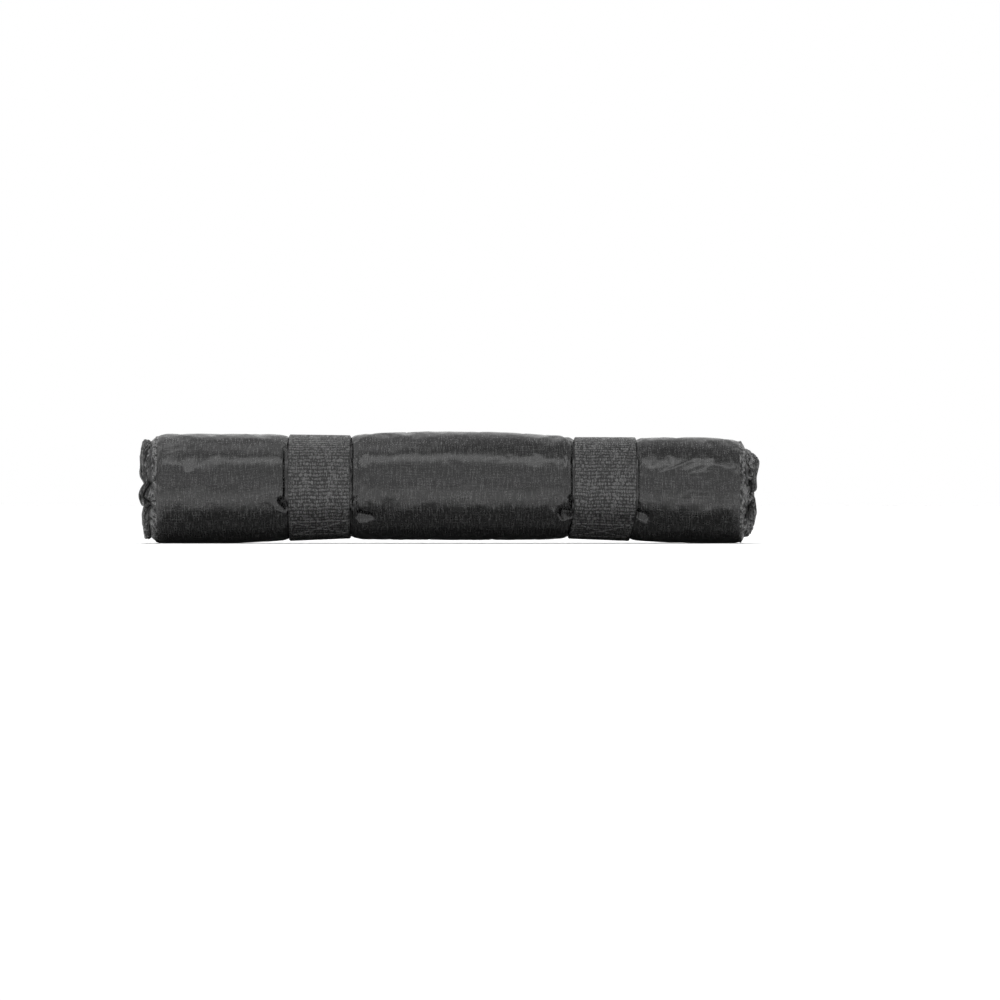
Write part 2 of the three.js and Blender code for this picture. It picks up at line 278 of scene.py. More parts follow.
# Folds in the cover: where a line starts and ends, (x, angle), its width and how far it rises
COVER_FOLDS = [
    # Left of the left strap: a crack along its edge, a pocket and a raised lip below that
    ((-105.6, 46), (-105.2, -12), 1.3, -1.3),
    ((-107.9, -14.5), (-104.0, -21.5), 1.9, -4.2),
    ((-111.2, -24), (-104.8, -30.5), 1.1, 1.3),
    ((-114.5, -8), (-107.5, -19), 0.8, -0.6),
    ((-117.0, -12), (-110.5, -24), 1.2, 0.35),
    # Right of it
    ((-62.9, 60), (-62.9, -45), 1.0, -0.9),
    ((-63.5, -17), (-59.2, -12), 0.8, -1.1),
    ((-62.4, -26), (-60.0, -35), 1.1, 1.0),
    ((-57.0, -33.5), (-49.0, -36), 2.8, -2.8),
    ((-60.5, -38), (-57.0, -44.5), 1.0, 1.0),
    ((-57.0, -44.5), (-51.5, -43.5), 1.0, 1.2),
    # Left of the right strap
    ((80.9, 60), (80.6, -20), 1.1, -1.0),
    ((78.8, -12), (80.8, -24), 1.6, -2.0),
    ((74.0, -29), (80.6, -33), 3.0, -4.6),
    ((67.5, -28), (73.0, -39.5), 1.2, 1.3),
    ((73.0, -39.5), (80.0, -38.5), 1.2, 1.7),
    # Right of it
    ((121.9, 45), (121.6, -44), 1.2, -1.1),
    ((121.5, -30), (127.0, -32.5), 3.2, -3.8),
    ((119.8, -42.5), (121.2, -42.5), 1.0, 1.3),
    # Slanting creases of the right end
    ((124.5, 8), (157.0, 34), 1.4, 0.22),
    ((130.0, 2), (166.0, 27), 1.3, -0.26),
    ((136.0, -4), (172.0, 22), 1.4, 0.22),
    ((150.0, -8), (176.0, 14), 1.4, -0.22),
    ((128.0, 14), (150.0, 31), 1.3, -0.22),
    # The crumpled shoulder of the left end
    ((-180.0, 48), (-170.0, 60), 1.6, 0.3),
    ((-184.0, 44), (-172.0, 47), 1.3, -0.3),
    ((-182.0, 38), (-166.0, 52), 1.5, 0.25),
]

# Its soft waves: height, length along the sleeve and round it, shift and seed of the noise
COVER_WAVES = [(0.16, 13, 30, 7, 11), (0.09, 6.5, 17, 3, 12), (0.05, 2.8, 5, 3, 13)]


def cover_relief(x, angle):
    """How far the cover's own wrinkles stand out or in at a place."""
    around = round_length(angle)
    folds = creases(COVER_FOLDS, x, around)
    soft = 0
    for height, length, spread, shift, seed in COVER_WAVES:
        soft = soft + height * smooth_noise(x / length, around / spread + shift, seed)
    free = 1.0
    for strap in (LEFT_STRAP, RIGHT_STRAP):
        away, _ = beyond_strap(strap, x, angle)
        gathers = 0.45 * smooth_noise(np.full_like(x, strap["middle"]) / 9, around / 4.0, 14)
        soft = soft + gathers * np.exp(-away / 7) * (away > 0)
        free = free * smoothstep(away, 0, 1.2)
    seam_gathers = 0.4 * smooth_noise(np.sign(x) * 3.1, around / 4.2, 15)
    seam_gathers = seam_gathers * np.exp(-to_nearer_seam(x) / 6)
    return (folds + soft + seam_gathers) * free * smoothstep(from_slit(angle), 4, 12)


def cover_wear_and_painted_highlight(x, angle):
    """Where the cover is paler: rubbed at both seams, and painted lighter on the crumpled left
    shoulder, a painted highlight.
    """
    patchy = 0.6 + 0.4 * smooth_noise(x / 2.5, round_length(angle) / 3.5, 16)
    shoulder = bell((x + 179) / 8) * bell(turn(52, angle) / 17)
    return (0.5 * np.exp(-to_nearer_seam(x) / 2.5) + 0.5 * shoulder) * patchy


def foam_relief(x, angle):
    """The foam gives way under the cover's folds, in a wider dent, so it never shows through."""
    shifts = [(0, 0), (-1.6, 0), (1.6, 0), (0, -2.6), (0, 2.6), (-3, 0), (3, 0), (0, -5), (0, 5)]
    near = [cover_relief(x + along, angle + around) for along, around in shifts]
    return np.minimum(np.min(near, axis=0), 0) - FOAM_SLACK


def edge_at(x):
    """The centre of the pad's rounded edge beside the slit, aside from it and out, and the angle
    from the slit at which the round outside starts."""
    aside = SLIT_GAP / 2 + EDGE_RADIUS
    out = np.sqrt((cover_radius(x, SLIT_ANGLE) - EDGE_RADIUS) ** 2 - aside**2)
    return aside, out, np.degrees(np.arctan2(aside, out))


def round_shares(count):
    """Shares of the way round the outside, closer together in front, where the folds are."""
    share = np.linspace(0, 1, 721)
    crowd = 1 + 1.8 * bell((SLIT_ANGLE + share * 360 - 360) / 62)
    total = np.concatenate([[0], np.cumsum((crowd[1:] + crowd[:-1]) / 2)])
    return np.interp(np.linspace(0, total[-1], count), total, share)


def outside_angles(x, round_rows):
    """The angles of the round outside's rows at places along the sleeve."""
    start = edge_at(x)[2]
    return SLIT_ANGLE + start + round_shares(round_rows)[:, None] * (360 - 2 * start)


def pad_section(x, sunk, rows, relief=None):
    """The pad's skin at places along the sleeve: up the slit's lower face, round the outside, and
    down the slit's upper face. rows says how many rows a face, a rounded edge and the round
    outside take."""
    face_rows, edge_rows, round_rows = rows
    aside, out, start = edge_at(x)

    def edge(side):
        made = []
        for share in np.linspace(0, 1, face_rows, endpoint=False):
            reach = TUBE_RADIUS + share * (out - TUBE_RADIUS)
            made.append(section_point(x, SLIT_ANGLE, reach, side * (SLIT_GAP / 2 + sunk), sunk))
        for share in np.linspace(0, 1, edge_rows, endpoint=False):
            swing = share * (math.pi / 2 + np.radians(start))
            radius = EDGE_RADIUS - sunk
            beside = side * (aside - radius * np.cos(swing))
            made.append(section_point(x, SLIT_ANGLE, out + radius * np.sin(swing), beside, sunk))
        return made

    points = edge(1)
    for angle in outside_angles(x, round_rows):
        radius = cover_radius(x, angle) - sunk
        if relief is not None:
            radius = radius + relief(x, angle)
        points.append(section_point(x, angle, radius, 0, sunk))
    points += edge(-1)[::-1]
    return np.array(points)


def grid_normals(points):
    """Outward normals of a grid whose rows go round the sleeve and whose columns go along it."""
    along = np.gradient(points, axis=1)
    around = np.gradient(points, axis=0)
    normals = np.cross(along, around)
    return normals / np.maximum(np.linalg.norm(normals, axis=-1, keepdims=True), 1e-9)


def flat_places(points):
    """Each point's place on the flat cloth: length along a row and length across the rows."""
    along = np.linalg.norm(np.diff(points, axis=1), axis=-1)
    around = np.linalg.norm(np.diff(points, axis=0), axis=-1)
    u = np.pad(np.cumsum(along, axis=1), ((0, 0), (1, 0)))
    v = np.pad(np.cumsum(around, axis=0), ((1, 0), (0, 0)))
    return np.stack([u, v, np.zeros_like(u)], axis=-1)


def add_piece(name, points, faces, material, place):
    """Makes a smooth mesh from points in millimetres, which rides on the sleeve. place says where
    each point lies on the flat cloth, for the materials' patterns."""
    mesh = bpy.data.meshes.new(name)
    mesh.from_pydata(((points + ORIGIN) * MILLIMETRE).tolist(), [], faces)
    mesh.polygons.foreach_set("use_smooth", [True] * len(mesh.polygons))
    cloth = mesh.attributes.new("cloth_mm", "FLOAT_VECTOR", "POINT")
    cloth.data.foreach_set("vector", place.astype(np.float32).ravel())
    mesh.materials.append(material)
    mesh.update()
    piece = bpy.data.objects.new(name, mesh)
    bpy.context.scene.collection.objects.link(piece)
    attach(piece, "root")
    return piece


def quads(rows, columns, first=0):
    """Faces of a grid of points that look along the outward normals."""
    index = np.arange(rows * columns).reshape(rows, columns) + first
    corners = [index[:-1, :-1], index[:-1, 1:], index[1:, 1:], index[1:, :-1]]
    return np.stack(corners, axis=-1).reshape(-1, 4)


def shell_faces(rows, columns):
    """Faces that close an outer and an inner grid of the same size into one solid sheet."""
    top = np.arange(rows * columns).reshape(rows, columns)
    under = top + rows * columns
    outer = quads(rows, columns)
    inner = quads(rows, columns, rows * columns)[:, ::-1]
    rims = []
    for upper, lower in (
        (top[0, ::-1], under[0, ::-1]),
        (top[-1], under[-1]),
        (top[:, 0], under[:, 0]),
        (top[::-1, -1], under[::-1, -1]),
    ):
        rims.append(np.stack([upper[:-1], upper[1:], lower[1:], lower[:-1]], axis=-1))
    return np.concatenate([outer, inner, *rims]).tolist()


def add_shell(name, outer, inner, material, place=None):
    """Makes one solid sheet between an outer and an inner grid of points."""
    rows, columns = outer.shape[:2]
    if place is None:
        place = flat_places(outer)
    points = np.concatenate([outer.reshape(-1, 3), inner.reshape(-1, 3)])
    places = np.concatenate([place.reshape(-1, 3)] * 2)
    return add_piece(name, points, shell_faces(rows, columns), material, places)


def pillow(share, border):
    """1 over most of a width whose share runs from 0 to 1, rounding to nearly 0 at both edges."""
    near = np.clip(np.minimum(share, 1 - share) / border, 0, 1)
    return np.maximum(np.sqrt(1 - (1 - near) ** 2), 0.08)


# Materials


def linear(hex_colour):
    """A colour written as an sRGB hex value, as linear red, green, blue and alpha."""
    parts = [int(hex_colour[i : i + 2], 16) / 255 for i in (1, 3, 5)]
    return [p / 12.92 if p <= 0.04045 else ((p + 0.055) / 1.055) ** 2.4 for p in parts] + [1.0]


def add_node(tree, kind, inputs, **settings):
    """Adds a node with its settings, and gives back its outputs. inputs maps its sockets to
    values or to other nodes' outputs."""
    made = tree.nodes.new("ShaderNode" + kind)
    for name, value in settings.items():
        setattr(made, name, value)
    for socket, value in inputs.items():
        if isinstance(value, bpy.types.NodeSocket):
            tree.links.new(value, made.inputs[socket])
        else:
            made.inputs[socket].default_value = value
    return made.outputs


def start_material(name):
    material = bpy.data.materials.new(name)
    material.use_nodes = True
    tree = material.node_tree
    tree.nodes.clear()
    return material, tree


def finish_material(tree, inputs):
    """Adds the surface shader with its inputs, and the output."""
    surface = add_node(tree, "BsdfPrincipled", inputs)
    add_node(tree, "OutputMaterial", {"Surface": surface["BSDF"]})


def finish_cloth(material, shade, dark, light, inputs, relief=None):
    """Finishes a material whose colour goes from dark to light with a pattern from 0 to 1. relief
    is a pattern that stands up, with its strength and its height in metres."""
    tree = material.node_tree
    mix = {0: shade, 6: linear(dark), 7: linear(light)}
    inputs["Base Color"] = add_node(tree, "Mix", mix, data_type="RGBA")[2]
    if relief:
        bump = dict(zip(("Height", "Strength", "Distance"), relief))
        inputs["Normal"] = add_node(tree, "Bump", bump)[0]
    finish_material(tree, inputs)
    return material


def grains(tree, along, around, detail=1.0, low=0.3, high=0.7):
    """Random grains of a size in millimetres along the sleeve and round it on the flat cloth,
    from 0 where the noise is below low to 1 where it is above high."""
    place = add_node(tree, "Attribute", {}, attribute_name="cloth_mm")["Vector"]
    size = {0: place, 1: (1 / along, 1 / around, 0.37)}
    place = add_node(tree, "VectorMath", size, operation="MULTIPLY")[0]
    noise = {"Vector": place, "Scale": 1.0, "Detail": detail, "Roughness": 0.6}
    noise = add_node(tree, "TexNoise", noise)["Fac"]
    return add_node(tree, "MapRange", {"Value": noise, "From Min": low, "From Max": high})[0]


def blend(tree, first, second, third, shares):
    """The sum of three patterns, each taken by its share."""
    three = add_node(tree, "CombineXYZ", {"X": first, "Y": second, "Z": third})[0]
    return add_node(tree, "VectorMath", {0: three, 1: shares}, operation="DOT_PRODUCT")["Value"]


def woven_nylon():
    """Black nylon oxford, woven from satin yarn and calendered. Uneven yarn draws fine streaks
    round the sleeve and a few bright threads along it, under a soft wide highlight."""
    material, tree = start_material("woven_nylon")
    # The yarn is about 0.3 mm apart; it is drawn 0.8 mm apart, as fine as the picture shows
    streaks = grains(tree, 0.8, 8.0, 1.0, 0.25, 0.75)
    grain = grains(tree, 0.8, 0.9)
    weft = grains(tree, 8.0, 1.0)
    threads = grains(tree, 26.0, 0.8, 0.0, 0.66, 0.76)
    slubs = grains(tree, 0.8, 14.0, 0.0, 0.68, 0.78)
    yarn = blend(tree, streaks, grain, weft, (0.48, 0.37, 0.15))
    yarn = add_node(tree, "MapRange", {"Value": yarn, "From Min": 0.48, "From Max": 0.82})[0]
    shade = blend(tree, yarn, threads, slubs, (1.0, 0.25, 0.22))
    place = add_node(tree, "Attribute", {}, attribute_name="cloth_mm")["Vector"]
    # Paler where the cover is rubbed at the seams, and a painted highlight on the crumpled left
    # shoulder
    wear_and_highlight = add_node(tree, "SeparateXYZ", {0: place})["Z"]
    shade = add_node(tree, "Math", {0: shade, 1: wear_and_highlight}, operation="ADD")[0]
    relief = blend(tree, streaks, weft, shade, (1.0, 0.08, 0.0))
    surface = {"Roughness": 0.22, "IOR": 1.53}
    return finish_cloth(material, shade, "#010101", "#4f4f4f", surface, (relief, 1.0, 0.0001))


def polypropylene_webbing():
    """Black polypropylene webbing, woven in thick ribs. Its floats stand up in real relief, and its
    colour follows that relief: painted lighter on the floats, a painted sheen, and darker in the
    grooves between them, a painted shade. Each rib is broken into short bright dashes."""
    material, tree = start_material("polypropylene_webbing")
    place = add_node(tree, "Attribute", {}, attribute_name="cloth_mm")["Vector"]
    # The ribs' relief: the colour is painted darker in the grooves, a painted shade, and lighter on the
    # floats, a painted sheen
    height = add_node(tree, "SeparateXYZ", {0: place})["Z"]
    rib = add_node(tree, "VectorMath", {0: place, 1: (0.01, RIB_PITCH, 9.0)}, operation="SNAP")[0]
    spot = {0: rib, 1: (1 / 0.75, 2.9, 0.0)}
    spot = add_node(tree, "VectorMath", spot, operation="MULTIPLY")[0]
    dash = {"Vector": spot, "Scale": 1.0, "Detail": 2.0, "Roughness": 0.6}
    dash = add_node(tree, "TexNoise", dash)["Fac"]
    dash = add_node(tree, "MapRange", {"Value": dash, "From Min": 0.35, "From Max": 0.65})[0]
    yarn = grains(tree, 0.9, 0.8)
    shade = blend(tree, height, dash, yarn, (0.7, 0.6, 0.6))
    shade = add_node(tree, "MapRange", {"Value": shade, "From Min": 0.9, "From Max": 1.48})[0]
    relief = blend(tree, yarn, dash, height, (0.8, 0.6, 0.0))
    surface = {"Roughness": 0.33, "IOR": 1.49}
    return finish_cloth(material, shade, "#020202", "#6a6a6a", surface, (relief, 1.0, 0.00025))


def binding_tape():
    """Black polyester grosgrain tape, woven with fine ribs. Its ribs are painted pale in patches,
    painted glints, so that its folds look speckled."""
    material, tree = start_material("binding_tape")
    ribs = grains(tree, 0.9, 1.0, 2.0)
    # Painted glints: patches where the ribs are painted pale
    glint_patches = grains(tree, 3.0, 3.5, 1.0, 0.38, 0.6)
    shade = add_node(tree, "Math", {0: ribs, 1: glint_patches}, operation="MULTIPLY")[0]
    surface = {"Roughness": 0.38, "IOR": 1.53}
    return finish_cloth(material, shade, "#040404", "#c0c0c0", surface, (ribs, 1.0, 0.0007))


def woven_lining():
    """Black nylon lining, woven plain and thin, which gives a smooth dull face."""
    material, tree = start_material("woven_lining")
    # The yarn is about 0.3 mm apart; it is drawn 0.9 mm apart, as fine as the picture shows
    warp = grains(tree, 6.0, 0.9, 2.0)
    weft = grains(tree, 0.9, 6.0, 2.0)
    weave = add_node(tree, "Math", {0: warp, 1: weft}, operation="MAXIMUM")[0]
    surface = {"Roughness": 0.62, "IOR": 1.5}
    return finish_cloth(material, weave, "#101010", "#2a2a2a", surface, (weave, 0.5, 0.0003))


def polyethylene_foam():
    """Grey closed-cell polyethylene foam, blown and sliced. Its small cells make it matt, and its
    resin leaves a faint waxy sheen."""
    material, tree = start_material("polyethylene_foam")
    place = add_node(tree, "Attribute", {}, attribute_name="cloth_mm")["Vector"]
    cells = add_node(tree, "TexVoronoi", {"Vector": place, "Scale": 0.8})["Distance"]
    surface = {"Roughness": 0.7, "IOR": 1.51}
    return finish_cloth(material, cells, "#4a4a4a", "#6c6c6c", surface, (cells, 0.8, 0.0006))


def loop_tape():
    """Black nylon loop tape, knitted and brushed, with a soft fuzz that catches light at its edge."""
    material, tree = start_material("loop_tape")
    fuzz = grains(tree, 0.8, 0.8, 4.0)
    surface = {"Roughness": 0.9, "IOR": 1.5, "Sheen Weight": 0.25}
    return finish_cloth(material, fuzz, "#0d0d0d", "#2a2a2a", surface, (fuzz, 0.9, 0.0004))


def hook_tape():
    """Black nylon hook tape, with rows of stiff moulded hooks that glint one by one, through their bump
    and through a painted highlight: each hook is painted lighter at its middle.
    """
    material, tree = start_material("hook_tape")
    place = add_node(tree, "Attribute", {}, attribute_name="cloth_mm")["Vector"]
    rows = {"Vector": place, "Scale": 0.62, "Randomness": 0.15}
    # Each hook is painted lighter at its middle, a painted highlight
    hooks = add_node(tree, "TexVoronoi", rows)["Distance"]
    surface = {"Roughness": 0.42, "IOR": 1.53}
    return finish_cloth(material, hooks, "#262626", "#0d0d0d", surface, (hooks, 0.8, 0.0006))


def bonded_thread(name, roughness, dark, light):
    """Bonded polyester thread, twisted and waxed. The straps' is black thread painted grey, a painted
    sheen, so that it shows as pale dashes, and the hems' is black and shines more than their tape."""
    material, tree = start_material(name)
    twist = grains(tree, 0.5, 0.5)
    surface = {"Roughness": roughness, "IOR": 1.54}
    return finish_cloth(material, twist, dark, light, surface)


NYLON = woven_nylon()
WEBBING = polypropylene_webbing()
BINDING = binding_tape()
LINING = woven_lining()
FOAM = polyethylene_foam()
LOOPS = loop_tape()
HOOKS = hook_tape()
# The straps' thread: black thread painted grey, a painted sheen
THREAD = bonded_thread("polyester_thread_sheen_painted", 0.34, "#464646", "#848484")
HEM_THREAD = bonded_thread("black_thread", 0.32, "#161616", "#4a4a4a")


# The cover


def along_sleeve(step, inset=0.0):
    """Places along the sleeve, closer together beside the straps' edges and at the seams."""
    x = np.linspace(LEFT_SEAM + inset, RIGHT_SEAM - inset, 4001)
    crowd = np.ones_like(x)
    for strap in (LEFT_STRAP, RIGHT_STRAP):
        for side in (-1, 1):
            edge = strap["middle"] + side * WEBBING_WIDTH / 2 + side * 2 - strap["slip"] / 2
            crowd += 2.2 * bell((x - edge) / 6)
    crowd += 1.2 * (bell((x - LEFT_SEAM) / 6) + bell((x - RIGHT_SEAM) / 6))
    total = np.concatenate([[0], np.cumsum((crowd[1:] + crowd[:-1]) / 2 * np.diff(x))])
    count = int(total[-1] / step)
    return np.interp(np.linspace(0, total[-1], count + 1), total, x)


def settle(points, held):
    """Lets the cover's skin swell and crumple a little against what holds it. points is the grid
    of the skin, and held is 1 where straps, seams or the slit hold it still."""
    rows, columns = points.shape[:2]
    mesh = bpy.data.meshes.new("skin")
    flat = points.reshape(-1, 3) * MILLIMETRE
    mesh.from_pydata(flat.tolist(), [], quads(rows, columns).tolist())
    skin = bpy.data.objects.new("skin", mesh)
    bpy.context.scene.collection.objects.link(skin)
    group = skin.vertex_groups.new(name="held")
    for index, weight in enumerate(held.ravel()):
        if weight > 0.01:
            group.add([index], float(weight), "REPLACE")
    cloth = skin.modifiers.new("cloth", "CLOTH")
    settings = cloth.settings
    settings.quality = 6
    settings.mass = 0.2
    settings.tension_stiffness = 12
    settings.compression_stiffness = 12
    settings.shear_stiffness = 4
    settings.bending_stiffness = 0.25
    settings.vertex_group_mass = "held"
    settings.pin_stiffness = 1
    settings.use_pressure = True
    settings.uniform_pressure_force = SWELL_PRESSURE
    settings.shrink_min = -CLOTH_GROWTH
    settings.effector_weights.gravity = 0
    cloth.collision_settings.use_collision = False
    cloth.point_cache.frame_start = 1
    cloth.point_cache.frame_end = SWELL_FRAMES
    scene = bpy.context.scene
    for number in range(1, SWELL_FRAMES + 1):
        scene.frame_set(number)
    settled = skin.evaluated_get(bpy.context.evaluated_depsgraph_get()).to_mesh()
    moved = np.empty(len(settled.vertices) * 3)
    settled.vertices.foreach_get("co", moved)
    scene.frame_set(1)
    bpy.data.objects.remove(skin)
    shift = moved.reshape(points.shape) / MILLIMETRE - points
    size = np.linalg.norm(shift, axis=-1, keepdims=True)
    capped = np.minimum(size, SWELL_CAP) / np.maximum(size, 1e-9)
    return points + shift * capped


def section_values(x, rows, of_place):
    """A value for each point of the pad's skin, from its place on the round outside."""
    face_rows, edge_rows, round_rows = rows
    angle = outside_angles(x, round_rows)
    values = of_place(np.broadcast_to(x, angle.shape), angle)
    beside = face_rows + edge_rows
    return np.pad(values, ((beside, beside), (0, 0)), mode="edge")


def held_places(x, skin, rows):
    """1 where something holds the cover's skin still, 0 where it is free."""
    face_rows, edge_rows, round_rows = rows
    outside = slice(face_rows + edge_rows, -face_rows - edge_rows)
    angle = outside_angles(x, round_rows)
    free = smoothstep(to_nearer_seam(x), 1, 5)
    for strap in (LEFT_STRAP, RIGHT_STRAP):
        away, _ = beyond_strap(strap, x, angle)
        free = free * smoothstep(away, 0.3, 4)
    free = free * smoothstep(from_slit(angle), 6, 14)
    # The cover keeps its flat spot where it lies on the floor
    free = free * smoothstep(skin[outside, :, 2], 0.6, 3)
    held = np.ones(skin.shape[:2])
    held[outside] = 1 - free
    return held


def outer_cover():
    """The cover with its wrinkles, one sheet from one face of the slit round to the other."""
    rows = (6, 6, 150)
    x = along_sleeve(2.0)
    skin = pad_section(x, 0.0, rows, cover_relief)
    inside = pad_section(x, COVER_THICKNESS, rows, cover_relief)
    place = flat_places(pad_section(x, 0.0, rows))
    # The third place carries the seams' wear and the shoulder's painted highlight to the material
    place[..., 2] = section_values(x, rows, cover_wear_and_painted_highlight)
    settled = settle(skin, held_places(x, skin, rows))
    settled[..., 2] = np.maximum(settled[..., 2], 0)
    inside = inside + (settled - skin)
    inside[..., 2] = np.maximum(inside[..., 2], COVER_THICKNESS * 0.5)
    skin = settled
    cover = add_shell("padded_cover", skin, inside, NYLON, place)
    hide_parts("outer_cover")


def foam_core():
    """The foam, from the cover in to the lining."""
    x = along_sleeve(3.2, FOAM_INSET)
    rows = (0, 4, 100)
    outside = pad_section(x, FOAM_SINK + FOAM_SLACK, rows, foam_relief)
    start = math.degrees(math.asin((SLIT_GAP / 2 + FOAM_SINK) / FOAM_BORE))
    angles = SLIT_ANGLE + np.linspace(start, 360 - start, len(outside))
    bore = np.array([section_point(x, angle, FOAM_BORE) for angle in angles])
    foam = add_shell("foam_pad", outside, bore, FOAM)
    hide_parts("foam_core")


def inner_lining():
    """One sheet that comes down the left end face, runs through the bore and climbs the right one."""
    rows = (0, 4, 90)
    seams = np.array([LEFT_SEAM, RIGHT_SEAM])
    rims = pad_section(seams, FOAM_SINK, rows)
    start = math.degrees(math.asin((SLIT_GAP / 2 + FOAM_SINK) / TUBE_RADIUS))
    angles = SLIT_ANGLE + np.linspace(start, 360 - start, len(rims))
    face_steps = 9
    x = np.linspace(LEFT_SEAM, RIGHT_SEAM, 121)

    def grid(depth):
        made = []
        for row, angle in enumerate(angles):
            around = round_length(angle, TUBE_RADIUS)
            wrinkle = 0.16 * smooth_noise(x / 30, around / 5 + x * 0, 21)
            wrinkle = wrinkle * smoothstep(to_nearer_seam(x), 0, 8)
            inner_x = np.clip(x, LEFT_SEAM + depth, RIGHT_SEAM - depth)
            bore = section_point(inner_x, angle, TUBE_RADIUS + depth + wrinkle)
            left_rim, right_rim = rims[row, 0], rims[row, 1]
            shares = np.linspace(0, 1, face_steps, endpoint=False)[:, None]
            dimple = np.sin(shares * math.pi) * (0.25 * smooth_noise(around / 4, 0.5, 22) + 0.25)
            inwards = np.array([1.0, 0.0, 0.0])
            left_face = left_rim * (1 - shares) + bore[0] * shares
            left_face[:, 0] = LEFT_SEAM + depth
            left_face = left_face + dimple * inwards
            right_face = right_rim * (1 - shares) + bore[-1] * shares
            right_face[:, 0] = RIGHT_SEAM - depth
            right_face = (right_face - dimple * inwards)[::-1]
            made.append(np.concatenate([left_face, bore, right_face]))
        return np.array(made)

    lining = add_shell("bore_lining", grid(LINING_THICKNESS), grid(0.0), LINING)
    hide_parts("inner_lining")


# The straps


def band_grid(strap, angles, width, columns, height, end_border):
    """Points of a band round the cover at a height above it, and the share of its thickness that
    is left where its sides and its ends round off."""
    across = np.linspace(0, 1, columns)
    angle = angles[:, None]
    x = strap_middle(strap, angle) + (across[None] - 0.5) * width
    rounded = pillow(across, 0.02) * pillow(np.linspace(0, 1, len(angles))[:, None], end_border)
    return x, angle, cover_radius(x, angle) + height, rounded


def strap_height(angle):
    """How far the strap's underside is from the cover: its upper tail climbs over the lower one."""
    tip = LOWER_TAIL_END - math.degrees(CLEARANCE / PAD_RADIUS)
    climb = math.degrees(LIFT_LENGTH / PAD_RADIUS)
    return CLEARANCE + TAIL_LIFT * smoothstep(angle, tip - climb, tip)


def webbing_relief(along, across):
    """Ribs that run across the webbing, from 0 in a deep groove to 1 on a float. The grooves
    between them come and go."""
    rib = np.floor(along / RIB_PITCH)
    groove = 1 - np.abs(np.sin(np.pi * along / RIB_PITCH)) ** 0.7
    depth = 0.35 + 0.65 * smoothstep(smooth_noise(across / FLOAT_LENGTH, rib * 1.37, 31), -0.5, 0.3)
    uneven = 0.15 * smooth_noise(across / 0.9, along / 1.1, 32)
    return np.clip(0.88 - groove * depth * 1.1 + uneven, 0, 1)


def webbing_strap(name, node, strap):
    """A strap's webbing, with its ribs, from the lower tail's end round to the upper tail's end."""
    angles = np.linspace(LOWER_TAIL_END - 360, UPPER_TAIL_END, 640)
    height = strap_height(angles)[:, None]
    x, angle, radius, rounded = band_grid(strap, angles, WEBBING_WIDTH, 65, height, 0.004)
    along = np.radians(angle - angles[0]) * (PAD_RADIUS - PINCH_DEPTH)
    # The ribs wander a little
    along = along + 0.6 * smooth_noise(x / 7, along / 14 + x * 0, 33)
    relief = webbing_relief(along, x - strap["middle"]) * smoothstep(rounded, 0.6, 1)
    middle = radius + WEBBING_THICKNESS / 2
    half = WEBBING_THICKNESS / 2 * rounded
    outer = section_point(x, angle, middle + half - RIB_RELIEF * (1 - relief))
    inner = section_point(x, angle, middle - half)
    # The relief rides along for the material, which paints shade into the grooves and sheen onto the
    # floats
    place = np.stack(np.broadcast_arrays(x, along, relief), axis=-1)
    piece = add_shell(name, outer, inner, WEBBING, place)
    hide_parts(node)
    return piece


def fastener_tape(name, node, strap, layer, material):
    """A tape between the two tails. layer is 0 for the one that lies next to the lower tail."""
    margin = math.degrees(TAPE_END_MARGIN / PAD_RADIUS)
    angles = np.linspace(LOWER_TAIL_END + margin, UPPER_TAIL_END - margin, 60)
    height = 2 * CLEARANCE + WEBBING_THICKNESS + layer * (TAPE_THICKNESS + CLEARANCE)
    width = WEBBING_WIDTH - 2 * TAPE_SIDE_MARGIN
    x, angle, radius, rounded = band_grid(strap, angles, width, 61, height, 0.02)
    half = TAPE_THICKNESS / 2 * rounded
    middle = radius + TAPE_THICKNESS / 2
    along = np.radians(angle) * PAD_RADIUS
    rough = 0.08 * smooth_noise(x / 1.3, along / 1.3 + x * 0, 41 + layer)
    outer = section_point(x, angle, middle + half + np.minimum(rough, 0))
    inner = section_point(x, angle, middle - half - np.minimum(rough, 0))
    place = np.stack(np.broadcast_arrays(x, along, 0.0), axis=-1)
    piece = add_shell(name, outer, inner, material, place)
    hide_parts(node)
    return piece


# Stitches


def stitch_tubes(path, normals, length, gap, radius):
    """Short thread tubes along a path on a surface, whose ends dip into it."""
    steps = np.linalg.norm(np.diff(path, axis=0), axis=1)
    run = np.concatenate([[0], np.cumsum(steps)])
    count = max(int(run[-1] / (length + gap)), 1)
    rings, sides = 5, 6
    points, faces = [], []
    swing = np.linspace(0, 2 * math.pi, sides, endpoint=False)
    for number in range(count):
        middle = (number + 0.5) * run[-1] / count
        stops = middle + np.linspace(-0.5, 0.5, rings) * length
        place = np.stack([np.interp(stops, run, path[:, axis]) for axis in range(3)], axis=-1)
        up = np.stack([np.interp(stops, run, normals[:, axis]) for axis in range(3)], axis=-1)
        ahead = np.gradient(place, axis=0)
        aside = np.cross(ahead, up)
        aside /= np.maximum(np.linalg.norm(aside, axis=-1, keepdims=True), 1e-9)
        rise = np.array([-0.8, 0.3, 0.6, 0.3, -0.8])[:, None] * radius
        first = len(points) * rings * sides
        ring = (place + up * rise)[:, None] + radius * (
            np.cos(swing)[None, :, None] * up[:, None] + np.sin(swing)[None, :, None] * aside[:, None]
        )
        points.append(ring.reshape(-1, 3))
        for r in range(rings - 1):
            for s in range(sides):
                a, b = first + r * sides + s, first + r * sides + (s + 1) % sides
                faces.append([a, a + sides, b + sides, b])
        faces.append([first + s for s in range(sides)])
        faces.append([first + (rings - 1) * sides + s for s in reversed(range(sides))])
    return np.concatenate(points), faces


